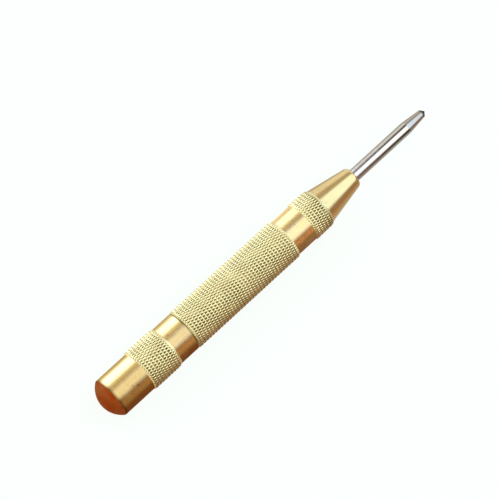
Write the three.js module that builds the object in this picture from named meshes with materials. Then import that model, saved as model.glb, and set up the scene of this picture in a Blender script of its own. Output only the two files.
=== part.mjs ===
// Automatic centre punch with a brass body, lying on its side.
//
// The tool's axis runs along X, with the point towards +X. The origin is under the middle of the tool's
// length, on the surface it lies on, and +Z is up. All sizes are in millimetres.
//
// Stations are distances along the axis, measured from the rear end of the cap. Every turned piece is a
// profile of [station, radius] pairs, revolved about the axis.

import * as THREE from "three";

// Overall size.
const overallLength = 130;
const turnedSegments = 32;
const slimSegments = 20;

// Stations of the outer features, from the rear.
const domeHeight = 3.4;
const capKnurlRear = 14.7;
const capKnurlFront = 25.4;
const capFront = 32.4;
const barrelKnurlFront = 72.6;
const noseRear = 78.8;
const noseKnurlRear = 79.85;
const noseKnurlFront = 86.9;
const coneFront = 99.1;
const noseFront = 100.6;
const punchTaperStart = 122.2;
const punchPointStart = 128.9;

// Outer radii.
const capRadius = 6.42;
const capKnurlRadius = 6.8;
const barrelKnurlRadius = 6.6;
const barrelBandRadius = 6.2;
const noseCollarRadius = 6.3;
const noseKnurlRearRadius = 6.5;
const noseKnurlFrontRadius = 6.38;
const coneRearRadius = 5.86;
const coneFrontRadius = 3.51;
const noseFrontRadius = 2.35;
const punchRadius = 2.0;
const punchTaperRadius = 1.25;

// Edge breaks and clearances.
const edgeBreak = 0.3;
const knurlChamfer = 0.35;
const runningGap = 0.06;
const faceGap = 0.05;

// Screw threads, drawn as plain cylinders at their crests.
const threadRadius = 4.97;
const threadBoreRadius = 5.06;
const threadReliefRadius = 4.4;
const threadReliefLength = 1.2;
const tailRear = 22.4;
const spigotFront = 85.6;
const capThreadBottom = 21;
const noseThreadBottom = 86.2;

// Bores.
const springBoreRadius = 3.9;
const capSpringSeat = 7;
const capDrillPoint = 6;
const capDrillRadius = 1.8;
const webRear = 63;
const webFront = 66.5;
const webHoleRadius = 2.1;
const chamberRadius = 3.4;
const headBoreRadius = 3.05;
const headBoreFront = 92;

// Punch head, and the socket in it that takes the drive pin.
const headRear = 86.5;
const headFront = 91.9;
const headRadius = 2.85;
const socketBottom = 89.5;
const socketRadius = 1.45;

// Drive pin, which leans at rest so that its rear end is off the axis.
const pinRear = 63.2;
const pinFront = 89.2;
const pinRadius = 1.15;
const pinCollarRear = 84.8;
const pinCollarFront = 86;
const pinCollarRadius = 2.4;
const pinPivot = 88;
const pinRearOffset = 0.75;

// Hammer.
const hammerRear = 42.9;
const hammerFront = 62.9;
const hammerRadius = 3.75;
const hammerSpigotRear = 39.9;
const hammerSpigotRadius = 2.2;
const hammerHoleRadius = 1.35;
const hammerHoleBottom = 54.3;
const hammerHolePoint = 53.9;

// Springs: mean radii, wire radii and number of turns.
const mainSpring = {
  rear: 7.1, front: 42.75, rearRadius: 2.95, frontRadius: 2.95,
  wireRadius: 0.6, turns: 15, wireSides: 6, stepsPerTurn: 12,
};
const returnSpring = {
  rear: 66.6, front: 84.5, rearRadius: 3.05, frontRadius: 1.95,
  wireRadius: 0.26, turns: 9, wireSides: 6, stepsPerTurn: 12,
};
const closedTurns = 1;
const closedPitchFactor = 1.05;

const materials = {
  brass: { color: 0xc9a24e, roughness: 0.3, metalness: 1 },
  steel: { color: 0xc4c4c6, roughness: 0.2, metalness: 1 },
  hardenedSteel: { color: 0x8a8c90, roughness: 0.35, metalness: 1 },
  springSteel: { color: 0x6f7276, roughness: 0.4, metalness: 1 },
};

const tool = new THREE.Group();
tool.position.set(-overallLength / 2, 0, capKnurlRadius);

function addPiece(name, geometry, material) {
  const mesh = new THREE.Mesh(geometry, new THREE.MeshStandardMaterial(material));
  mesh.name = name;
  tool.add(mesh);
  return mesh;
}

// A body of revolution about X. Its flats touch the true radius, and a flat faces straight down, so that
// the tool can lie still on it.
function turned(profile, segments) {
  const flatsToCorners = 1 / Math.cos(Math.PI / segments);
  const points = profile.map(([station, radius]) => new THREE.Vector2(radius * flatsToCorners, station));
  const geometry = new THREE.LatheGeometry(points, segments, Math.PI / segments);
  return geometry.rotateZ(-Math.PI / 2);
}

// Points of a circular arc in the profile plane, from one angle to another. Angle 0 points forwards along
// the axis, and 90 degrees points outwards.
function arc(centreStation, centreRadius, radius, fromDegrees, toDegrees, steps) {
  return Array.from({ length: steps + 1 }, (_, i) => {
    const angle = THREE.MathUtils.degToRad(THREE.MathUtils.lerp(fromDegrees, toDegrees, i / steps));
    return [centreStation + radius * Math.cos(angle), centreRadius + radius * Math.sin(angle)];
  });
}

// The dome is a shallow spherical cap that ends at the rim of the plain grip.
function domeProfile() {
  const sphereRadius = (capRadius ** 2 + domeHeight ** 2) / (2 * domeHeight);
  const rimAngle = THREE.MathUtils.radToDeg(Math.asin(capRadius / sphereRadius));
  const points = arc(sphereRadius, 0, sphereRadius, 180, 180 - rimAngle, 6);
  points[0] = [0, 0];
  return points;
}

function addCap() {
  const profile = [
    ...domeProfile(),
    [capKnurlRear, capRadius],
    [capKnurlRear, capKnurlRadius - edgeBreak / 3],
    [capKnurlRear + edgeBreak / 3, capKnurlRadius],
    [capKnurlFront - knurlChamfer, capKnurlRadius],
    [capKnurlFront, capRadius],
    [capFront - edgeBreak, capRadius],
    [capFront, capRadius - edgeBreak],
    [capFront, threadBoreRadius],
    [capThreadBottom, threadBoreRadius],
    [capThreadBottom, springBoreRadius],
    [capSpringSeat, springBoreRadius],
    [capSpringSeat, capDrillRadius],
    [capDrillPoint, 0],
  ];
  addPiece("cap", turned(profile, turnedSegments), materials.brass);
}

function addBarrel() {
  const shoulder = capFront + faceGap;
  const profile = [
    [tailRear, springBoreRadius],
    [tailRear, threadRadius - edgeBreak],
    [tailRear + edgeBreak, threadRadius],
    [shoulder - threadReliefLength, threadRadius],
    [shoulder - threadReliefLength, threadReliefRadius],
    [shoulder, threadReliefRadius],
    [shoulder, barrelKnurlRadius - knurlChamfer],
    [shoulder + knurlChamfer, barrelKnurlRadius],
    [barrelKnurlFront - knurlChamfer, barrelKnurlRadius],
    [barrelKnurlFront, barrelBandRadius],
    [noseRear - faceGap, barrelBandRadius],
    [noseRear - faceGap, threadRadius],
    [spigotFront - edgeBreak, threadRadius],
    [spigotFront, threadRadius - edgeBreak],
    [spigotFront, chamberRadius],
    [webFront, chamberRadius],
    [webFront, webHoleRadius],
    [webRear, webHoleRadius],
    [webRear, springBoreRadius],
    [tailRear, springBoreRadius],
  ];
  addPiece("barrel", turned(profile, turnedSegments), materials.brass);
}

// The rounded end runs on from the cone and stops at a narrow flat ring round the punch.
function noseEndProfile() {
  const start = new THREE.Vector2(coneFront, coneFrontRadius);
  const end = new THREE.Vector2(noseFront, noseFrontRadius);
  const coneAngle = Math.atan2(coneRearRadius - coneFrontRadius, coneFront - noseKnurlFront);
  const corner = new THREE.Vector2(noseFront, coneFrontRadius - (noseFront - coneFront) * Math.tan(coneAngle));
  return new THREE.QuadraticBezierCurve(start, corner, end).getPoints(4).map((p) => [p.x, p.y]);
}

function addNose() {
  const profile = [
    [noseRear, threadBoreRadius],
    [noseRear, noseCollarRadius],
    [noseKnurlRear, noseCollarRadius],
    [noseKnurlRear, noseKnurlRearRadius],
    [noseKnurlFront - knurlChamfer, noseKnurlFrontRadius],
    [noseKnurlFront, coneRearRadius],
    ...noseEndProfile(),
    [noseFront, punchRadius + runningGap],
    [headBoreFront, punchRadius + runningGap],
    [headBoreFront, headBoreRadius],
    [noseThreadBottom, headBoreRadius],
    [noseThreadBottom, threadBoreRadius],
    [noseRear, threadBoreRadius],
  ];
  addPiece("nose", turned(profile, turnedSegments), materials.brass);
}

function addPunchPoint() {
  const profile = [
    [socketBottom, 0],
    [socketBottom, socketRadius],
    [headRear, socketRadius],
    [headRear, headRadius - edgeBreak],
    [headRear + edgeBreak, headRadius],
    [headFront, headRadius],
    [headFront, punchRadius],
    [punchTaperStart, punchRadius],
    [punchPointStart, punchTaperRadius],
    [overallLength, 0],
  ];
  addPiece("punch_point", turned(profile, turnedSegments), materials.steel);
}

// The pin is drawn straight and then turned about its pivot in the punch's socket.
function addDrivePin() {
  const profile = [
    [pinRear, 0],
    [pinRear, pinRadius - edgeBreak / 2],
    [pinRear + edgeBreak, pinRadius],
    [pinCollarRear, pinRadius],
    [pinCollarRear, pinCollarRadius],
    [pinCollarFront, pinCollarRadius],
    [pinCollarFront, pinRadius],
    [pinFront - pinRadius / 2, pinRadius],
    [pinFront, pinRadius / 2],
    [pinFront, 0],
  ].map(([station, radius]) => [station - pinPivot, radius]);
  const pin = addPiece("drive_pin", turned(profile, slimSegments), materials.hardenedSteel);
  pin.position.x = pinPivot;
  pin.rotation.z = -Math.asin(pinRearOffset / (pinPivot - pinRear));
}

function addHammer() {
  const profile = [
    [hammerSpigotRear, 0],
    [hammerSpigotRear, hammerSpigotRadius - edgeBreak],
    [hammerSpigotRear + edgeBreak, hammerSpigotRadius],
    [hammerRear, hammerSpigotRadius],
    [hammerRear, hammerRadius - edgeBreak],
    [hammerRear + edgeBreak, hammerRadius],
    [hammerFront - edgeBreak, hammerRadius],
    [hammerFront, hammerRadius - edgeBreak],
    [hammerFront, hammerHoleRadius],
    [hammerHoleBottom, hammerHoleRadius],
    [hammerHolePoint, 0],
  ];
  addPiece("hammer", turned(profile, turnedSegments), materials.hardenedSteel);
}

// Centre line of a compression spring along X. The first and last turns lie close together, and the
// turns between share what is left of the length evenly.
class SpringCurve extends THREE.Curve {
  constructor(spring) {
    super();
    this.spring = spring;
  }

  getPoint(t, target = new THREE.Vector3()) {
    const { rear, front, rearRadius, frontRadius, wireRadius, turns } = this.spring;
    const closedLength = closedTurns * 2 * wireRadius * closedPitchFactor;
    const openPitch = (front - rear - 2 * wireRadius - 2 * closedLength) / (turns - 2 * closedTurns);
    const turn = t * turns;
    const closedRear = Math.min(turn, closedTurns);
    const closedFront = Math.max(turn - (turns - closedTurns), 0);
    const open = turn - closedRear - closedFront;
    const closed = ((closedRear + closedFront) / closedTurns) * closedLength;
    const radius = THREE.MathUtils.lerp(rearRadius, frontRadius, t);
    const angle = turn * 2 * Math.PI;
    return target.set(
      rear + wireRadius + closed + open * openPitch,
      radius * Math.cos(angle),
      radius * Math.sin(angle),
    );
  }
}

function addSpring(name, spring) {
  const section = new THREE.Shape(
    Array.from({ length: spring.wireSides }, (_, i) => {
      const angle = (i / spring.wireSides) * 2 * Math.PI;
      return new THREE.Vector2(spring.wireRadius * Math.cos(angle), spring.wireRadius * Math.sin(angle));
    }),
  );
  const geometry = new THREE.ExtrudeGeometry(section, {
    steps: spring.turns * spring.stepsPerTurn,
    extrudePath: new SpringCurve(spring),
  });
  addPiece(name, geometry, materials.springSteel);
}

addCap();
addBarrel();
addNose();
addPunchPoint();
addDrivePin();
addHammer();
addSpring("main_spring", mainSpring);
addSpring("return_spring", returnSpring);

export default tool;
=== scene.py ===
"""Looks of an automatic centre punch: a turned brass body with knurled grips and a slim steel point.

The CAD model is the frame. Each CAD node is replaced by a finely made piece in the same place: turned skins
with real diamond knurling and screw threads, wound springs, and a ground steel punch. Sizes are in
millimetres, as stations along the tool's axis from the rear end of the cap. x_at() and place() turn them
into metres in the frame.
"""

import math

import bpy
import numpy as np
from mathutils import Matrix, Vector, noise


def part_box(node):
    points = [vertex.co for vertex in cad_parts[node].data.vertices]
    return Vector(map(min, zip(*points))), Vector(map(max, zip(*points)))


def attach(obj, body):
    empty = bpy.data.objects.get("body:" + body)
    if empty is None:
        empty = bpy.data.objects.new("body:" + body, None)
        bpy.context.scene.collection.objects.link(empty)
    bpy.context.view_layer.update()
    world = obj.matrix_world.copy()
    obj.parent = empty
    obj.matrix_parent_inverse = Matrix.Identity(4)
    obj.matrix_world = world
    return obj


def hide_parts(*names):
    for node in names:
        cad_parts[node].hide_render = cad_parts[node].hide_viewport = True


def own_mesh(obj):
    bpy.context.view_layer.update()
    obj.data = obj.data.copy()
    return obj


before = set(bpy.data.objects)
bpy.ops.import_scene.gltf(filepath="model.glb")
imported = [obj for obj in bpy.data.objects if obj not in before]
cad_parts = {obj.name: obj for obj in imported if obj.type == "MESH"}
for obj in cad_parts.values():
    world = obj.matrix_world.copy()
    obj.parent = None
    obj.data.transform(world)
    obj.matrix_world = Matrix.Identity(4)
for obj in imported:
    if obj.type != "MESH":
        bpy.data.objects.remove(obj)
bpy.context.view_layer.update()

MM = 0.001

# The frame gives the rear end, the axis and the ends of each piece.
REAR_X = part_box("cap")[0].x
AXIS_Z = (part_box("punch_point")[0].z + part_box("punch_point")[1].z) / 2


def station(x):
    """The distance of a place in the frame from the rear end, in millimetres."""
    return (x - REAR_X) / MM


def x_at(s):
    """The place in the frame, in metres, of a station."""
    return REAR_X + s * MM


def ends(node):
    """The first and last station of a CAD node."""
    low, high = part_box(node)
    return station(low.x), station(high.x)


CAP_FRONT = ends("cap")[1]
BARREL_REAR, BARREL_FRONT = ends("barrel")
NOSE_REAR, NOSE_FRONT = ends("nose")
HEAD_REAR, TIP = ends("punch_point")
HAMMER_REAR, HAMMER_FRONT = ends("hammer")
MAIN_SPRING_REAR, MAIN_SPRING_FRONT = ends("main_spring")
RETURN_SPRING_REAR, RETURN_SPRING_FRONT = ends("return_spring")

# Cap.
DOME_HEIGHT = 3.4
CAP_RADIUS = 6.42
CAP_KNURL_REAR, CAP_KNURL_FRONT = 14.7, 25.4
CAP_KNURL_RADIUS = 6.8
CAP_THREAD_BOTTOM = 21.0
CAP_SPRING_SEAT = 7.0
CAP_DRILL_RADIUS = 1.8

# Barrel.
SHOULDER = CAP_FRONT + 0.05
SHOULDER_RADIUS = 6.25
BARREL_KNURL_REAR, BARREL_KNURL_FRONT = SHOULDER + 0.05, 72.6
BARREL_KNURL_RADIUS = 6.6
BARREL_BAND_RADIUS = 6.2
NOSE_SEAM = 0.005
SPRING_BORE_RADIUS = 3.9
BORE_SEAM_REAR, BORE_SEAM_FRONT = 45, 46
WEB_REAR, WEB_FRONT = 63.0, 66.5
WEB_HOLE_RADIUS = 2.1
CHAMBER_RADIUS = 3.4

# Nose.
NOSE_COLLAR_RADIUS = 6.2
NOSE_KNURL_REAR, NOSE_KNURL_FRONT = 79.85, 86.9
NOSE_KNURL_REAR_RADIUS, NOSE_KNURL_FRONT_RADIUS = 6.5, 6.38
NOSE_THREAD_BOTTOM = 86.2
CONE_REAR_RADIUS, CONE_FRONT_RADIUS = 5.86, 3.51
CONE_FRONT = 99.1
HEAD_BORE_RADIUS, HEAD_BORE_FRONT = 3.05, 92.0
GUIDE_RADIUS = 2.06

# Punch and its head.
PUNCH_RADIUS = 2.0
TAPER_REAR, TAPER_FRONT = 122.2, 128.9
TAPER_RADIUS = 1.25
HEAD_FRONT, HEAD_RADIUS = 91.9, 2.85
SOCKET_RADIUS, SOCKET_BOTTOM = 1.45, 89.5

# Drive pin, which leans at rest.
PIN_PIVOT = 88.0
PIN_END_REAR, PIN_END_FRONT = 63.2, 89.2
PIN_REAR_OFFSET = 0.75
PIN_RADIUS = 1.15
PIN_COLLAR_REAR, PIN_COLLAR_FRONT, PIN_COLLAR_RADIUS = 84.8, 86.0, 2.4

# Hammer.
HAMMER_RADIUS, HAMMER_SHOULDER = 3.75, 42.9
HAMMER_SPIGOT_RADIUS = 2.2
HAMMER_HOLE_RADIUS, HAMMER_HOLE_BOTTOM, HAMMER_HOLE_POINT = 1.35, 54.3, 53.9

# Springs.
CLOSED_TURNS = 1
MAIN_SPRING = {"turns": 15, "wire": 0.6, "rear_radius": 2.95, "front_radius": 2.95}
RETURN_SPRING = {"turns": 9, "wire": 0.26, "rear_radius": 3.05, "front_radius": 1.95}

# Screw threads, M10 x 1, right-hand.
THREAD_PITCH = 1.0
THREAD_OUTER_RADIUS = 4.97
THREAD_DEPTH = 0.54
THREAD_CLEARANCE = 0.09
THREAD_RELIEF_RADIUS = 4.4
THREAD_END_RADIUS = 4.5
NOSE_THREAD_END_RADIUS = 4.4
THREAD_MOUTH_RADIUS, THREAD_ENTRY_RADIUS, THREAD_BORE_RADIUS = 5.36, 4.98, 4.8
THREAD_STEPS_PER_PITCH = 12

# Knurling: raised diamonds left between two sets of grooves that run round the body both ways.
KNURL_STARTS = 47
KNURL_AXIAL_PITCH = 2.26
KNURL_STEPS = 8
KNURL_DEPTH = 0.31
KNURL_PIT_SHARPNESS = 1.5
KNURL_UNEVENNESS, KNURL_WAVE = 0.10, 5.0

# Fineness of the meshes.
SKIN_SEGMENTS = KNURL_STARTS * KNURL_STEPS
THREAD_SEGMENTS = 96
BORE_SEGMENTS = 64
PUNCH_SEGMENTS = 96
SUPPORT = 0.05

# Camera and stage.
FLOOR_SIZE = 6.0
CAMERA_AZIMUTH, CAMERA_ELEVATION = math.radians(-44.12), math.radians(70.32)
CAMERA_DISTANCE = 1.0
CAMERA_LENS, CAMERA_SENSOR = 249.1, 36.0
CAMERA_AIM_STATION, CAMERA_AIM_ABOVE_AXIS = 62.8, 0.00441


# ---------------------------------------------------------------- profiles


def rounded(corners, steps=4):
    """A profile through (station, radius, cut) corners: each corner is rounded from cut before it to cut
    after it, and long straight stretches get a point near each end, so that they shade flat."""
    points = []
    last = len(corners) - 1
    for i, (s, r, cut) in enumerate(corners):
        here = Vector((s, r))
        if cut == 0 or i in (0, last):
            points.append(here)
            continue
        before = here + (Vector(corners[i - 1][:2]) - here).normalized() * cut
        after = here + (Vector(corners[i + 1][:2]) - here).normalized() * cut
        for k in range(steps + 1):
            t = k / steps
            points.append((1 - t) ** 2 * before + 2 * t * (1 - t) * here + t**2 * after)
    profile = [points[0]]
    for start, end in zip(points, points[1:]):
        along = end - start
        if along.length > 4 * SUPPORT:
            profile.append(start + along.normalized() * SUPPORT)
            profile.append(end - along.normalized() * SUPPORT)
        profile.append(end)
    return [(p.x, p.y) for p in profile]


def arc(centre, radius, from_degrees, to_degrees, steps):
    """Points of a circular arc in the profile plane. Angle 0 points forwards, and 90 degrees outwards."""
    sweep = to_degrees - from_degrees
    angles = [math.radians(from_degrees + sweep * k / steps) for k in range(steps + 1)]
    return [(centre[0] + radius * math.cos(a), centre[1] + radius * math.sin(a)) for a in angles]


# ---------------------------------------------------------------- rings and skins


def place(stations, radii, angles):
    """Points in the frame, in metres, at a station, radius and angle about the axis from +Y towards +Z."""
    stations, radii, angles = np.broadcast_arrays(stations, radii, angles)
    return np.stack(
        [
            x_at(stations),
            radii * np.cos(angles) * MM,
            AXIS_Z + radii * np.sin(angles) * MM,
        ],
        axis=-1,
    )


def angles_of(segments):
    return np.arange(segments) * 2 * math.pi / segments


def turned(profile, segments):
    """Rings of a plain turned surface along (station, radius) points. A radius of 0 gives one point."""
    return [place(s, r, angles_of(segments) if r > 0 else np.zeros(1)) for s, r in profile]


def triangle_wave(x):
    """0 at whole numbers and 1 half way between them."""
    return 1 - np.abs(2 * (x - np.floor(x)) - 1)


def smooth_variation(s, angles, size, seed):
    """A slow variation from -1 to 1 round the ring at station s, with waves about size millimetres long."""
    values = np.zeros(len(angles))
    for i, angle in enumerate(angles):
        spot = Vector((s, CAP_RADIUS * math.cos(angle), CAP_RADIUS * math.sin(angle))) / size
        values[i] = noise.noise(spot + Vector((seed, 0, 0)))
    return values


def knurled(rear, front, crest, rear_limit, front_limit, seed):
    """Rings of a diamond knurl between two stations. crest is its (rear, front) radii. Each limit is
    (radius, length): the end's chamfer rises from that radius to the crest within that length."""
    periods = (front - rear) / KNURL_AXIAL_PITCH
    count = round(periods * KNURL_STEPS)
    angles = angles_of(SKIN_SEGMENTS)
    rings = []
    for i in range(count + 1):
        share = i / count
        s = rear + (front - rear) * share
        high = crest[0] + (crest[1] - crest[0]) * share
        around = np.arange(SKIN_SEGMENTS) / KNURL_STEPS
        along = i / KNURL_STEPS
        crossing = (2 + np.cos(2 * math.pi * (around + along)) + np.cos(2 * math.pi * (around - along))) / 4
        height = 1 - crossing**KNURL_PIT_SHARPNESS
        depth = KNURL_DEPTH * (1 + KNURL_UNEVENNESS * smooth_variation(s, angles, KNURL_WAVE, seed))
        radii = high - depth * (1 - height)
        for limit, distance in ((rear_limit, s - rear), (front_limit, front - s)):
            radii = np.minimum(radii, limit[0] + (high - limit[0]) * distance / limit[1])
        rings.append(place(s, radii, angles))
    return rings


def threaded(rear, front, limits, clearance=0.0):
    """Rings of a right-hand thread from rear to front, or backwards where front is the smaller. limits are
    the lowest and highest radius, and clearance moves the flanks outwards, for a thread inside a bore."""
    count = round(abs(front - rear) / THREAD_PITCH * THREAD_STEPS_PER_PITCH)
    angles = angles_of(THREAD_SEGMENTS)
    rings = []
    for i in range(count + 1):
        s = rear + (front - rear) * i / count
        wave = triangle_wave(s / THREAD_PITCH - angles / (2 * math.pi))
        flank = THREAD_OUTER_RADIUS + clearance + math.sqrt(3) / 2 * THREAD_PITCH * (wave - 0.875)
        rings.append(place(s, np.clip(flank, *limits), angles))
    return rings


def outer_thread(rear, front):
    return threaded(rear, front, (THREAD_OUTER_RADIUS - THREAD_DEPTH, THREAD_OUTER_RADIUS))


def inner_thread(start, end):
    crest = THREAD_OUTER_RADIUS - THREAD_DEPTH + 0.1
    return threaded(start, end, (crest, THREAD_OUTER_RADIUS + THREAD_CLEARANCE), THREAD_CLEARANCE)


def knurl_crease(i, j):
    """Whether a cell of the knurl is split along the diagonal that runs with the grooves there."""
    return (i + j + 1) % KNURL_STEPS in (0, 2, 6)


def join_rings(a, b, starts, row, faces, creased):
    """Faces between ring a and the next ring b, whose points start at those indices. Rings of unlike
    counts are stitched with triangles."""
    first, second = starts
    n, m = len(a), len(b)
    if n == m:
        for j in range(n):
            k = (j + 1) % n
            corners = (first + j, first + k, second + k, second + j)
            if not creased:
                faces.append(corners)
            elif knurl_crease(row, j):
                faces.append((corners[0], corners[1], corners[3]))
                faces.append((corners[1], corners[2], corners[3]))
            else:
                faces.append((corners[0], corners[1], corners[2]))
                faces.append((corners[0], corners[2], corners[3]))
        return
    i = j = 0
    while i < n or j < m:
        step_a = m == 1 or (n > 1 and i < n and (i + 1) * m <= (j + 1) * n)
        if step_a:
            faces.append((first + i, first + (i + 1) % n, second + j % m))
            i += 1
        else:
            faces.append((first + i % n, second + (j + 1) % m, second + j % m))
            j += 1
        if (m == 1 and i == n) or (n == 1 and j == m):
            return


def skin(name, sections, closed=False):
    """A mesh object through rings of points. sections is a list of (rings, material index), where index 1
    is a knurl. A closed skin joins its last ring to its first, and an open one ends in single points."""
    rings, rows = [], []
    for section, material in sections:
        for i, ring in enumerate(section):
            rings.append(ring)
            rows.append((i, material))
    starts = np.concatenate([[0], np.cumsum([len(r) for r in rings])]).tolist()
    faces, materials = [], []
    pairs = list(zip(range(len(rings)), range(1, len(rings))))
    if closed:
        pairs.append((len(rings) - 1, 0))
    for a, b in pairs:
        knurl = rows[a][1] == 1 and rows[b][1] == 1
        before = len(faces)
        join_rings(rings[a], rings[b], (starts[a], starts[b]), rows[a][0], faces, knurl)
        materials += [1 if knurl else 0] * (len(faces) - before)
    mesh = bpy.data.meshes.new(name)
    mesh.from_pydata(np.concatenate(rings).tolist(), [], faces)
    mesh.polygons.foreach_set("use_smooth", [True] * len(faces))
    mesh.polygons.foreach_set("material_index", materials)
    mesh.update()
    piece = bpy.data.objects.new(name, mesh)
    bpy.context.scene.collection.objects.link(piece)
    return piece


def finish_piece(piece, body, node, materials):
    """The piece rides on its body, stands for its CAD node, and takes its materials."""
    for material in materials:
        piece.data.materials.append(material)
    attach(piece, body)
    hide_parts(node)
    return piece


# ---------------------------------------------------------------- materials


class Nodes:
    """A small helper that adds nodes to a tree, sets their inputs and links them."""

    def __init__(self, tree):
        self.tree = tree
        tree.nodes.clear()

    def add(self, kind, inputs=(), **settings):
        node = self.tree.nodes.new(kind)
        for name, value in settings.items():
            setattr(node, name, value)
        for key, value in dict(inputs).items():
            socket = node.inputs[key]
            if isinstance(value, bpy.types.NodeSocket):
                self.tree.links.new(value, socket)
            else:
                socket.default_value = value
        return node

    def math(self, operation, a, b=0.0, clamp=False):
        return self.add("ShaderNodeMath", {0: a, 1: b}, operation=operation, use_clamp=clamp).outputs[0]

    def remap(self, value, low, high, to_low=0.0, to_high=1.0):
        inputs = {"Value": value, "From Min": low, "From Max": high, "To Min": to_low, "To Max": to_high}
        return self.add("ShaderNodeMapRange", inputs, clamp=True).outputs["Result"]

    def window(self, value, low, high, edge):
        """1 between low and high and 0 outside, with edges as wide as edge."""
        rising = self.remap(value, low - edge / 2, low + edge / 2)
        falling = self.remap(value, high - edge / 2, high + edge / 2, 1.0, 0.0)
        return self.math("MULTIPLY", rising, falling)

    def mix(self, share, a, b):
        inputs = {0: share, 6: a, 7: b}
        return self.add("ShaderNodeMix", inputs, data_type="RGBA").outputs[2]

    def noise(self, vector, scale, detail=2.0, roughness=0.5):
        inputs = {"Vector": vector, "Scale": scale, "Detail": detail, "Roughness": roughness}
        return self.add("ShaderNodeTexNoise", inputs, noise_dimensions="3D").outputs["Fac"]

    def lines(self, along, scale, detail=2.0):
        """Noise that varies only with one coordinate, for the fine lines that a lathe leaves."""
        inputs = {"W": along, "Scale": scale, "Detail": detail, "Roughness": 0.6}
        return self.add("ShaderNodeTexNoise", inputs, noise_dimensions="1D").outputs["Fac"]


def new_material(name):
    material = bpy.data.materials.new(name)
    material.use_nodes = True
    return material, Nodes(material.node_tree)


def surface_place(nodes):
    """The object's own coordinates, the coordinate along the axis, and the distance from the axis."""
    spot = nodes.add("ShaderNodeTexCoord").outputs["Object"]
    parts = nodes.add("ShaderNodeSeparateXYZ", {0: spot})
    from_axis = nodes.math("SUBTRACT", parts.outputs["Z"], AXIS_Z)
    y_squared, z_squared = nodes.math("POWER", parts.outputs["Y"], 2), nodes.math("POWER", from_axis, 2)
    squares = nodes.math("ADD", y_squared, z_squared)
    return spot, parts.outputs["X"], nodes.math("SQRT", squares)


def metal(nodes, colour, roughness, anisotropic, normal):
    """A metal surface whose grain runs round the axis."""
    tangent = nodes.add("ShaderNodeTangent", direction_type="RADIAL", axis="X")
    shader = nodes.add(
        "ShaderNodeBsdfPrincipled",
        {
            "Base Color": colour,
            "Metallic": 1.0,
            "Roughness": roughness,
            "Anisotropic": anisotropic,
            "Anisotropic Rotation": 0.25,
            "Normal": normal,
            "Tangent": tangent.outputs[0],
        },
    )
    nodes.add("ShaderNodeOutputMaterial", {"Surface": shader.outputs[0]})


BRASS = (0.89, 0.70, 0.33, 1)
# Painted sheen: a pale brass for the knurling, standing in for its bright, clipped highlights.
BRASS_PAINTED_SHEEN = (1.0, 0.92, 0.50, 1)
BRASS_TARNISH = (0.62, 0.44, 0.17, 1)
# Dark colour for real specks on the brass, and for painted shade at the dome's rim and the cap's joint.
BRASS_GRIME_AND_SHADE = (0.14, 0.08, 0.03, 1)
# Painted shade: the dark coppery brown of the dome, in place of the dark that its curve reflects.
DOME_PAINTED_SHADE = (0.48, 0.085, 0.007, 1)
# Dark colour for the knurl's pits: partly old oil, partly painted shade.
GROOVE_OIL_AND_SHADE = (0.09, 0.068, 0.018, 1)
STEEL_BRIGHT = (0.66, 0.65, 0.64, 1)
STEEL_STREAK = (0.54, 0.53, 0.52, 1)
# A warm tint painted on the taper, to offset the bluish light that it reflects.
TAPER_WARM_TINT = (0.54, 0.47, 0.39, 1)
POINT_DARK = (0.04, 0.037, 0.035, 1)


def turned_brass():
    """Polished brass with the fine rings of the lathe, slow changes of tone, and small dark specks. The
    dome at the rear end is unpolished, and its dark coppery brown is painted shade. Painted shade also lies
    in a dark band just in front of its rim, and in a line along the joint between the cap and the barrel."""
    material, nodes = new_material("turned_brass")
    spot, along, _ = surface_place(nodes)
    tone = nodes.remap(nodes.noise(spot, 260, 4), 0.35, 0.7, 0.0, 0.30)
    rings = nodes.lines(along, 3200, 3)
    tarnished = nodes.mix(nodes.math("MULTIPLY", tone, nodes.remap(rings, 0.3, 0.7)), BRASS, BRASS_TARNISH)
    specks = nodes.remap(nodes.noise(spot, 1500, 2), 0.61, 0.70)
    patches = nodes.remap(nodes.noise(spot, 190, 2), 0.53, 0.66)
    # Painted shade: a dark band just in front of the dome's rim, where shade falls at the step.
    rim = nodes.remap(along, x_at(DOME_HEIGHT), x_at(DOME_HEIGHT + 0.9), 0.9, 0.0)
    # Painted shade: a dark line along the joint between the cap and the barrel, where shade falls in the
    # seam.
    joint_rear, joint_front = x_at(CAP_FRONT - 0.35), x_at(SHOULDER)
    joint = nodes.math("MULTIPLY", nodes.window(along, joint_rear, joint_front, 0.5 * MM), 0.75)
    faint_specks = nodes.math("MULTIPLY", nodes.math("MULTIPLY", specks, patches), 0.6)
    # The dark specks are real; the rim band and the joint line mixed in here are painted shade.
    specks_and_shade = nodes.math("MAXIMUM", faint_specks, nodes.math("MAXIMUM", rim, joint))
    speckled_and_shaded = nodes.mix(specks_and_shade, tarnished, BRASS_GRIME_AND_SHADE)
    # Painted shade on the dome: a dark coppery brown stands in for the dark it reflects; it is also
    # rougher.
    on_dome = nodes.math("LESS_THAN", along, x_at(DOME_HEIGHT - 0.02))
    colour = nodes.mix(on_dome, speckled_and_shaded, nodes.mix(tone, DOME_PAINTED_SHADE, BRASS_TARNISH))
    polish = nodes.remap(nodes.noise(spot, 420, 3), 0.3, 0.7, 0.12, 0.19)
    roughness = nodes.math("MAXIMUM", polish, nodes.math("MULTIPLY", on_dome, 0.7))
    bump = nodes.add("ShaderNodeBump", {"Strength": 0.10, "Distance": 0.00004, "Height": rings})
    metal(nodes, colour, roughness, 0.1, bump.outputs[0])
    return material


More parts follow.
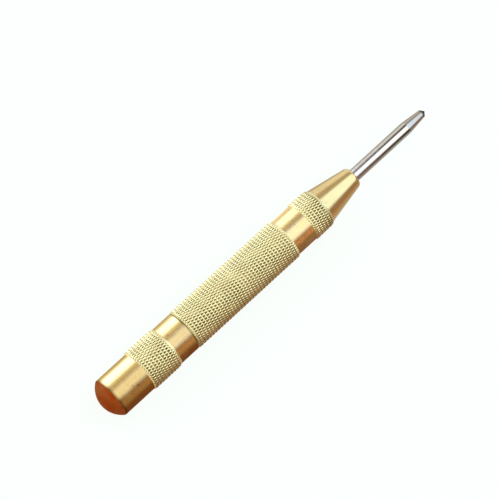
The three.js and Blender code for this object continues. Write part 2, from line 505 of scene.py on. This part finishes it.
def knurled_brass(crest_radius, rear, front):
    """Pale brass on the knurling between two stations, a painted sheen for its bright highlights.
    Its pits are dark, partly old oil and partly painted shade; this stops short of the bevelled ends."""
    material, nodes = new_material("knurled_brass")
    spot, along, radius = surface_place(nodes)
    groove_bottom = (crest_radius - KNURL_DEPTH) * MM
    height = nodes.remap(radius, groove_bottom, crest_radius * MM)
    rear_x, front_x = x_at(rear), x_at(front)
    darkening_from_rear = nodes.remap(along, rear_x + 0.1 * MM, rear_x + 0.5 * MM)
    darkening_to_front = nodes.remap(along, front_x - 0.9 * MM, front_x - 0.5 * MM, 1.0, 0.0)
    between = nodes.math("MULTIPLY", darkening_from_rear, darkening_to_front)
    # Partly painted shade: the pits go dark, as old oil and as the shade that falls in them.
    pit_oil_and_shade = nodes.math("MULTIPLY", nodes.remap(height, 0.38, 0.65, 0.97, 0.0), between)
    patchy = nodes.math("MULTIPLY", pit_oil_and_shade, nodes.remap(nodes.noise(spot, 300, 3), 0.3, 0.6, 0.6, 1.0))
    tone = nodes.remap(nodes.noise(spot, 200, 3), 0.35, 0.7, 0.0, 0.25)
    # The knurling is painted pale as a sheen for its highlights, and dark in its pits.
    colour = nodes.mix(patchy, nodes.mix(tone, BRASS_PAINTED_SHEEN, BRASS), GROOVE_OIL_AND_SHADE)
    roughness = nodes.remap(height, 0.3, 0.8, 0.45, 0.18)
    scratches = nodes.noise(spot, 9000, 2)
    bump = nodes.add("ShaderNodeBump", {"Strength": 0.15, "Distance": 0.00003, "Height": scratches})
    metal(nodes, colour, roughness, 0.0, bump.outputs[0])
    return material


def ground_steel():
    """The punch: ground and polished bright, with a dark point. A warm tint is painted on the taper
    to offset the bluish light that it reflects.
    """
    material, nodes = new_material("ground_steel")
    spot, along, _ = surface_place(nodes)
    point_rear = x_at(TAPER_FRONT - 0.6)
    darkness = nodes.remap(along, point_rear, point_rear + 0.5 * MM, 0.0, 0.93)
    streaks = nodes.lines(along, 5200, 3)
    bright = nodes.mix(nodes.remap(streaks, 0.3, 0.7, 0.0, 0.5), STEEL_BRIGHT, STEEL_STREAK)
    # A straw tint painted on the taper, to offset the bluish light that it reflects.
    taper_rear, taper_front = x_at(TAPER_REAR), x_at(TAPER_FRONT)
    warm_tinted = nodes.mix(nodes.remap(along, taper_rear, taper_front, 0.4, 1.0), bright, TAPER_WARM_TINT)
    on_taper = nodes.remap(along, taper_rear - 0.1 * MM, taper_rear + 0.3 * MM)
    colour = nodes.mix(darkness, nodes.mix(on_taper, bright, warm_tinted), POINT_DARK)
    roughness = nodes.remap(nodes.noise(spot, 700, 3), 0.3, 0.7, 0.04, 0.07)
    bump = nodes.add("ShaderNodeBump", {"Strength": 0.08, "Distance": 0.00003, "Height": streaks})
    metal(nodes, colour, roughness, 0.1, bump.outputs[0])
    return material


def satin_steel(name, light, dark, roughness_range):
    """Hardened or drawn steel with an oily satin finish."""
    material, nodes = new_material(name)
    spot, along, _ = surface_place(nodes)
    blotches = nodes.remap(nodes.noise(spot, 500, 4), 0.35, 0.65)
    colour = nodes.mix(blotches, light, dark)
    roughness = nodes.remap(nodes.noise(spot, 900, 3), 0.3, 0.7, *roughness_range)
    grain = nodes.lines(along, 6000, 2)
    bump = nodes.add("ShaderNodeBump", {"Strength": 0.12, "Distance": 0.00003, "Height": grain})
    metal(nodes, colour, roughness, 0.2, bump.outputs[0])
    return material


# ---------------------------------------------------------------- pieces


def make_cap(materials):
    sphere = (CAP_RADIUS**2 + DOME_HEIGHT**2) / (2 * DOME_HEIGHT)
    rim_angle = math.degrees(math.asin(CAP_RADIUS / sphere))
    dome = arc((sphere, 0), sphere, 180, 180 - rim_angle * 0.985, 24)
    dome[0] = (0, 0)
    plain = rounded(
        [
            (*dome[-1], 0),
            (DOME_HEIGHT, CAP_RADIUS, 0.10),
            (CAP_KNURL_REAR, CAP_RADIUS, 0),
        ]
    )
    grip = knurled(
        CAP_KNURL_REAR,
        CAP_KNURL_FRONT,
        (CAP_KNURL_RADIUS, CAP_KNURL_RADIUS),
        (CAP_RADIUS, 0.22),
        (CAP_RADIUS, 0.9),
        seed=3.0,
    )
    band = rounded(
        [
            (CAP_KNURL_FRONT, CAP_RADIUS, 0),
            (CAP_FRONT, CAP_RADIUS, 0.32),
            (CAP_FRONT, THREAD_MOUTH_RADIUS, 0.05),
            (CAP_FRONT - 0.4, THREAD_ENTRY_RADIUS, 0),
        ]
    )
    bore = rounded(
        [
            (CAP_THREAD_BOTTOM + 0.3, THREAD_BORE_RADIUS, 0),
            (CAP_THREAD_BOTTOM, THREAD_BORE_RADIUS, 0.1),
            (CAP_THREAD_BOTTOM, SPRING_BORE_RADIUS, 0.15),
            (CAP_SPRING_SEAT, SPRING_BORE_RADIUS, 0.2),
            (CAP_SPRING_SEAT, CAP_DRILL_RADIUS, 0.05),
            (CAP_SPRING_SEAT - 1, 0, 0),
        ]
    )
    sections = [
        (turned(dome[:-1] + plain, SKIN_SEGMENTS), 0),
        (grip, 1),
        (turned(band[1:], SKIN_SEGMENTS), 0),
        (inner_thread(CAP_FRONT - 0.45, CAP_THREAD_BOTTOM + 0.4), 0),
        (turned(bore, BORE_SEGMENTS), 0),
    ]
    finish_piece(skin("knurled_cap", sections), "cap", "cap", materials)


def make_barrel(materials):
    bore = rounded(
        [
            (BORE_SEAM_REAR, SPRING_BORE_RADIUS, 0),
            (BARREL_REAR, SPRING_BORE_RADIUS, 0.2),
            (BARREL_REAR, THREAD_END_RADIUS, 0),
        ]
    )
    relief = rounded(
        [
            (SHOULDER - 1.15, THREAD_RELIEF_RADIUS, 0),
            (SHOULDER, THREAD_RELIEF_RADIUS, 0.25),
            (SHOULDER, SHOULDER_RADIUS - 0.07, 0.08),
            (BARREL_KNURL_REAR, SHOULDER_RADIUS, 0),
        ]
    )
    grip = knurled(
        BARREL_KNURL_REAR,
        BARREL_KNURL_FRONT,
        (BARREL_KNURL_RADIUS, BARREL_KNURL_RADIUS),
        (SHOULDER_RADIUS, 0.22),
        (BARREL_BAND_RADIUS, 0.35),
        seed=11.0,
    )
    band = rounded(
        [
            (BARREL_KNURL_FRONT, BARREL_BAND_RADIUS, 0),
            (NOSE_REAR - NOSE_SEAM, BARREL_BAND_RADIUS, NOSE_SEAM),
            (NOSE_REAR - NOSE_SEAM, 4.6, 0.1),
            (NOSE_REAR + 0.15, THREAD_OUTER_RADIUS - THREAD_DEPTH, 0),
        ]
    )
    front = rounded(
        [
            (BARREL_FRONT - 0.05, THREAD_OUTER_RADIUS - THREAD_DEPTH, 0),
            (BARREL_FRONT, NOSE_THREAD_END_RADIUS, 0),
            (BARREL_FRONT, CHAMBER_RADIUS, 0.2),
            (WEB_FRONT, CHAMBER_RADIUS, 0.2),
            (WEB_FRONT, WEB_HOLE_RADIUS, 0.15),
            (WEB_REAR, WEB_HOLE_RADIUS, 0.15),
            (WEB_REAR, SPRING_BORE_RADIUS, 0.2),
            (BORE_SEAM_FRONT, SPRING_BORE_RADIUS, 0),
        ]
    )
    rear_thread = outer_thread(BARREL_REAR + 0.05, SHOULDER - 1.2)
    front_thread = outer_thread(NOSE_REAR + 0.2, BARREL_FRONT - 0.1)
    sections = [
        (turned(bore, BORE_SEGMENTS), 0),
        (chamfered(rear_thread, rear=(BARREL_REAR, THREAD_END_RADIUS)), 0),
        (turned(relief, SKIN_SEGMENTS), 0),
        (grip, 1),
        (turned(band[1:], SKIN_SEGMENTS), 0),
        (chamfered(front_thread, front=(BARREL_FRONT, NOSE_THREAD_END_RADIUS)), 0),
        (turned(front, BORE_SEGMENTS), 0),
    ]
    finish_piece(skin("knurled_barrel", sections, closed=True), "barrel", "barrel", materials)


def chamfered(rings, rear=None, front=None):
    """Cuts a 45 degree chamfer on the end of a thread. rear or front is the end's (station, radius)."""
    for points in rings:
        s = (points[:, 0] - REAR_X) / MM
        y, z = points[:, 1], points[:, 2] - AXIS_Z
        radii = np.hypot(y, z)
        limit = np.full(len(s), 1e9)
        if rear:
            limit = np.minimum(limit, (rear[1] + s - rear[0]) * MM)
        if front:
            limit = np.minimum(limit, (front[1] + front[0] - s) * MM)
        share = np.minimum(limit / radii, 1)
        points[:, 1] = y * share
        points[:, 2] = AXIS_Z + z * share
    return rings


def make_nose(materials):
    collar = rounded(
        [
            (NOSE_REAR + 0.4, THREAD_ENTRY_RADIUS, 0),
            (NOSE_REAR, THREAD_MOUTH_RADIUS, 0.05),
            (NOSE_REAR, NOSE_COLLAR_RADIUS, NOSE_SEAM),
            (NOSE_KNURL_REAR, NOSE_COLLAR_RADIUS, 0),
        ]
    )
    grip = knurled(
        NOSE_KNURL_REAR,
        NOSE_KNURL_FRONT,
        (NOSE_KNURL_REAR_RADIUS, NOSE_KNURL_FRONT_RADIUS),
        (NOSE_COLLAR_RADIUS, 0.14),
        (CONE_REAR_RADIUS, 0.8),
        seed=23.0,
    )
    slope = (CONE_REAR_RADIUS - CONE_FRONT_RADIUS) / (CONE_FRONT - NOSE_KNURL_FRONT)
    end_corner = CONE_FRONT_RADIUS - (NOSE_FRONT - CONE_FRONT) * slope
    cone = rounded(
        [
            (NOSE_KNURL_FRONT, CONE_REAR_RADIUS, 0),
            (NOSE_FRONT, end_corner, 1.15),
            (NOSE_FRONT, GUIDE_RADIUS, 0.08),
            (HEAD_BORE_FRONT, GUIDE_RADIUS, 0.08),
            (HEAD_BORE_FRONT, HEAD_BORE_RADIUS, 0.1),
            (NOSE_THREAD_BOTTOM, HEAD_BORE_RADIUS, 0.1),
            (NOSE_THREAD_BOTTOM, THREAD_BORE_RADIUS, 0.1),
            (NOSE_THREAD_BOTTOM - 0.3, THREAD_BORE_RADIUS, 0),
        ],
        steps=10,
    )
    sections = [
        (turned(collar, SKIN_SEGMENTS), 0),
        (grip, 1),
        (turned(cone[1:], SKIN_SEGMENTS), 0),
        (inner_thread(NOSE_THREAD_BOTTOM - 0.4, NOSE_REAR + 0.45), 0),
    ]
    finish_piece(skin("knurled_nose", sections, closed=True), "barrel", "nose", materials)


def make_punch(material):
    profile = rounded(
        [
            (SOCKET_BOTTOM + 0.4, 0, 0),
            (SOCKET_BOTTOM, SOCKET_RADIUS, 0.1),
            (HEAD_REAR, SOCKET_RADIUS, 0.15),
            (HEAD_REAR, HEAD_RADIUS, 0.3),
            (HEAD_FRONT, HEAD_RADIUS, 0.15),
            (HEAD_FRONT, PUNCH_RADIUS, 0.1),
            (TAPER_REAR, PUNCH_RADIUS, 0.6),
            (TAPER_FRONT, TAPER_RADIUS, 0.15),
            (TIP, 0, 0),
        ]
    )
    piece = skin("steel_punch", [(turned(profile, PUNCH_SEGMENTS), 0)])
    finish_piece(piece, "punch", "punch_point", [material])


def make_drive_pin(material):
    """The pin is turned straight, and then leans about its pivot so that its rear end is off the axis."""
    profile = rounded(
        [
            (PIN_END_REAR, 0, 0),
            (PIN_END_REAR, PIN_RADIUS, 0.2),
            (PIN_COLLAR_REAR, PIN_RADIUS, 0.1),
            (PIN_COLLAR_REAR, PIN_COLLAR_RADIUS, 0.15),
            (PIN_COLLAR_FRONT, PIN_COLLAR_RADIUS, 0.15),
            (PIN_COLLAR_FRONT, PIN_RADIUS, 0.1),
            (PIN_END_FRONT, PIN_RADIUS, 0.55),
            (PIN_END_FRONT, 0, 0),
        ]
    )
    piece = skin("drive_pin_turned", [(turned(profile, BORE_SEGMENTS), 0)])
    lean = math.asin(PIN_REAR_OFFSET / (PIN_PIVOT - PIN_END_REAR))
    pivot = Vector((x_at(PIN_PIVOT), 0, AXIS_Z))
    turn = Matrix.Translation(pivot) @ Matrix.Rotation(-lean, 4, "Z") @ Matrix.Translation(-pivot)
    piece.data.transform(turn)
    finish_piece(piece, "drive_pin", "drive_pin", [material])


def make_hammer(material):
    profile = rounded(
        [
            (HAMMER_REAR, 0, 0),
            (HAMMER_REAR, HAMMER_SPIGOT_RADIUS, 0.35),
            (HAMMER_SHOULDER, HAMMER_SPIGOT_RADIUS, 0.1),
            (HAMMER_SHOULDER, HAMMER_RADIUS, 0.3),
            (HAMMER_FRONT, HAMMER_RADIUS, 0.3),
            (HAMMER_FRONT, HAMMER_HOLE_RADIUS, 0.1),
            (HAMMER_HOLE_BOTTOM, HAMMER_HOLE_RADIUS, 0.1),
            (HAMMER_HOLE_POINT, 0, 0),
        ]
    )
    piece = skin("spring_hammer", [(turned(profile, BORE_SEGMENTS), 0)])
    finish_piece(piece, "hammer", "hammer", [material])


def wound(rear, front, turns, wire, rear_radius, front_radius, steps_per_turn=32, wire_sides=14):
    """Rings of a compression spring along the axis, with its first and last turns closed."""
    closed_length = CLOSED_TURNS * 2 * wire * 1.05
    open_pitch = (front - rear - 2 * wire - 2 * closed_length) / (turns - 2 * CLOSED_TURNS)

    def centre(turn):
        closed_rear = min(turn, CLOSED_TURNS)
        closed_front = max(turn - (turns - CLOSED_TURNS), 0)
        open_turns = turn - closed_rear - closed_front
        closed = (closed_rear + closed_front) / CLOSED_TURNS * closed_length
        s = rear + wire + closed + open_turns * open_pitch
        radius = rear_radius + (front_radius - rear_radius) * turn / turns
        return Vector(place(s, radius, turn * 2 * math.pi))

    count = turns * steps_per_turn
    centres = [centre(turns * i / count) for i in range(count + 1)]
    rings = []
    for i, here in enumerate(centres):
        along = (centres[min(i + 1, count)] - centres[max(i - 1, 0)]).normalized()
        outwards = Vector((0, here.y, here.z - AXIS_Z)).normalized()
        outwards = (outwards - outwards.dot(along) * along).normalized()
        across = along.cross(outwards)
        section = [outwards * math.cos(a) + across * math.sin(a) for a in angles_of(wire_sides)]
        rings.append(np.array([here + wire * MM * d for d in section]))
    return [np.array([centres[0]])] + rings + [np.array([centres[-1]])]


def make_springs(material):
    main_rings = wound(MAIN_SPRING_REAR, MAIN_SPRING_FRONT, **MAIN_SPRING)
    main = skin("main_spring_wire", [(main_rings, 0)])
    finish_piece(main, "main_spring", "main_spring", [material])
    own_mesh(main)

    back_rings = wound(RETURN_SPRING_REAR, RETURN_SPRING_FRONT, **RETURN_SPRING)
    back = skin("return_spring_wire", [(back_rings, 0)])
    finish_piece(back, "barrel", "return_spring", [material])
    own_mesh(back)


# ---------------------------------------------------------------- stage


def add_floor():
    """A plain pale floor. It is left out of reflections, so that the metal shows the studio round it."""
    mesh = bpy.data.meshes.new("floor")
    half = FLOOR_SIZE / 2
    corners = [(-half, -half, 0), (half, -half, 0), (half, half, 0), (-half, half, 0)]
    mesh.from_pydata(corners, [], [(0, 1, 2, 3)])
    floor = bpy.data.objects.new("floor", mesh)
    bpy.context.scene.collection.objects.link(floor)
    floor.visible_glossy = False
    material, nodes = new_material("pale_floor")
    shader = nodes.add(
        "ShaderNodeBsdfPrincipled",
        {
            "Base Color": (0.12, 0.12, 0.12, 1),
            "Roughness": 1.0,
            "Specular IOR Level": 0.0,
            "Emission Color": (0.955, 1, 0.98, 1),
            "Emission Strength": 0.915,
        },
    )
    nodes.add("ShaderNodeOutputMaterial", {"Surface": shader.outputs[0]})
    mesh.materials.append(material)


# The cards that stand round the tool, from the back to the front: each covers those before it. A card spans
# angles about the axis, in degrees from straight up towards +Y, and a reach along the axis, which is the X
# part of the direction it is seen in.
ALL_ROUND = (-200, 200)
BEHIND, REAR, MIDDLE = (-1.1, -0.15), (-0.15, 0.22), (0.22, 0.265)
FRONT, AHEAD = (0.265, 0.42), (0.42, 1.1)
BODY = (REAR[0], MIDDLE[1])
CARDS = {
    "room behind": (ALL_ROUND, BEHIND, (0.5, 0.4, 0.3)),
    "ceiling behind": ((-60, -10), BEHIND, (1.2, 1.2, 1.1)),
    "side behind": ((50, 105), BEHIND, (1.1, 1.15, 1.1)),
    "room at the rear": (ALL_ROUND, REAR, (0.26, 0.16, 0.07)),
    "wall at the rear": ((5, 180), REAR, (0.55, 0.43, 0.22)),
    "ceiling at the rear": ((-45, 5), REAR, (0.95, 0.84, 0.53)),
    "room in the middle": (ALL_ROUND, MIDDLE, (0.5, 0.25, 0.12)),
    "wall in the middle": ((15, 180), MIDDLE, (1.3, 1.15, 0.95)),
    "ceiling in the middle": ((-55, 15), MIDDLE, (1.15, 1.5, 2.7)),
    "low glint in the middle": ((-95, -66), MIDDLE, (1.3, 0.65, 0.38)),
    "low wall": ((-200, -108), BODY, (0.18, 0.06, 0.02)),
    "softbox surround": ((32, 114), BODY, (1.0, 1.0, 0.9)),
    "softbox": ((46, 94), BODY, (2.1, 2.4, 2.9)),
    "room at the front": (ALL_ROUND, FRONT, (0.55, 0.5, 0.45)),
    "ceiling at the front": ((-55, 6), FRONT, (2.0, 2.0, 1.8)),
    "dark card above": ((11, 38), FRONT, (0.05, 0.04, 0.03)),
    "dark card below": ((-110, -63), FRONT, (0.04, 0.04, 0.03)),
    "side at the front": ((50, 90), FRONT, (1.0, 0.95, 0.8)),
    "room ahead": (ALL_ROUND, AHEAD, (0.36, 0.24, 0.17)),
    "ceiling ahead": ((-64, 23), AHEAD, (1.15, 1.4, 1.7)),
    "low side ahead": ((-175, -114), AHEAD, (0.5, 0.34, 0.26)),
    "wall ahead": ((23, 150), AHEAD, (0.52, 0.44, 0.37)),
    "side ahead": ((60, 135), AHEAD, (0.92, 0.9, 0.9)),
}
CARD_EDGE_DEGREES, CARD_EDGE_REACH = 20, 0.03
BETWEEN_CARDS = (0.38, 0.15, 0.055)


def add_studio():
    """Soft light from all round, from the cards. The camera itself sees a plain pale backdrop."""
    world = bpy.data.worlds.new("studio")
    bpy.context.scene.world = world
    world.use_nodes = True
    nodes = Nodes(world.node_tree)
    coordinates = nodes.add("ShaderNodeTexCoord")
    parts = nodes.add("ShaderNodeSeparateXYZ", {0: coordinates.outputs["Generated"]})
    angle = nodes.math("ARCTAN2", parts.outputs["Y"], parts.outputs["Z"])
    edge = math.radians(CARD_EDGE_DEGREES)
    light = (*BETWEEN_CARDS, 1)
    for angles, reach, colour in CARDS.values():
        across = nodes.window(angle, math.radians(angles[0]), math.radians(angles[1]), edge)
        along = nodes.window(parts.outputs["X"], *reach, CARD_EDGE_REACH)
        light = nodes.mix(nodes.math("MULTIPLY", across, along), light, (*colour, 1))
    lit = nodes.add("ShaderNodeBackground", {"Color": light, "Strength": 1.0})
    backdrop = nodes.add("ShaderNodeBackground", {"Color": (0.955, 0.96, 0.955, 1), "Strength": 1.0})
    seen = nodes.add("ShaderNodeLightPath").outputs["Is Camera Ray"]
    both = nodes.add("ShaderNodeMixShader", {0: seen, 1: lit.outputs[0], 2: backdrop.outputs[0]})
    nodes.add("ShaderNodeOutputWorld", {"Surface": both.outputs[0]})


def add_camera():
    """The camera looks down on the tool from behind its rear end, so that the point lies up and away."""
    a, e = CAMERA_AZIMUTH, CAMERA_ELEVATION
    right = Vector((math.cos(a), math.sin(a), 0))
    back = Vector((math.sin(a) * math.cos(e), -math.cos(a) * math.cos(e), math.sin(e)))
    up = back.cross(right)
    axis_in_view = Vector((Vector((1, 0, 0)).dot(right), Vector((1, 0, 0)).dot(up))).normalized()
    above_axis = -axis_in_view.y * right + axis_in_view.x * up
    aim = Vector((x_at(CAMERA_AIM_STATION), 0, AXIS_Z)) + CAMERA_AIM_ABOVE_AXIS * above_axis
    camera = bpy.data.objects.new("camera", bpy.data.cameras.new("camera"))
    camera.data.lens = CAMERA_LENS
    camera.data.sensor_width = CAMERA_SENSOR
    camera.data.clip_start, camera.data.clip_end = 0.01, 20
    camera.location = aim + back * CAMERA_DISTANCE
    camera.rotation_mode = "QUATERNION"
    camera.rotation_quaternion = back.to_track_quat("Z", "Y")
    bpy.context.scene.collection.objects.link(camera)
    bpy.context.scene.camera = camera


# ---------------------------------------------------------------- the scene

plain = turned_brass()
nose_knurl_radius = (NOSE_KNURL_REAR_RADIUS + NOSE_KNURL_FRONT_RADIUS) / 2
make_cap([plain, knurled_brass(CAP_KNURL_RADIUS, CAP_KNURL_REAR, CAP_KNURL_FRONT)])
make_barrel([plain, knurled_brass(BARREL_KNURL_RADIUS, SHOULDER, BARREL_KNURL_FRONT)])
make_nose([plain, knurled_brass(nose_knurl_radius, NOSE_KNURL_REAR, NOSE_KNURL_FRONT)])
make_punch(ground_steel())
hardened = satin_steel("hardened_steel", (0.50, 0.50, 0.51, 1), (0.36, 0.36, 0.38, 1), (0.28, 0.42))
make_drive_pin(hardened)
make_hammer(hardened)
make_springs(satin_steel("spring_steel", (0.42, 0.42, 0.43, 1), (0.28, 0.28, 0.30, 1), (0.30, 0.45)))

add_floor()
add_studio()
add_camera()
bpy.context.scene.view_settings.view_transform = "Standard"
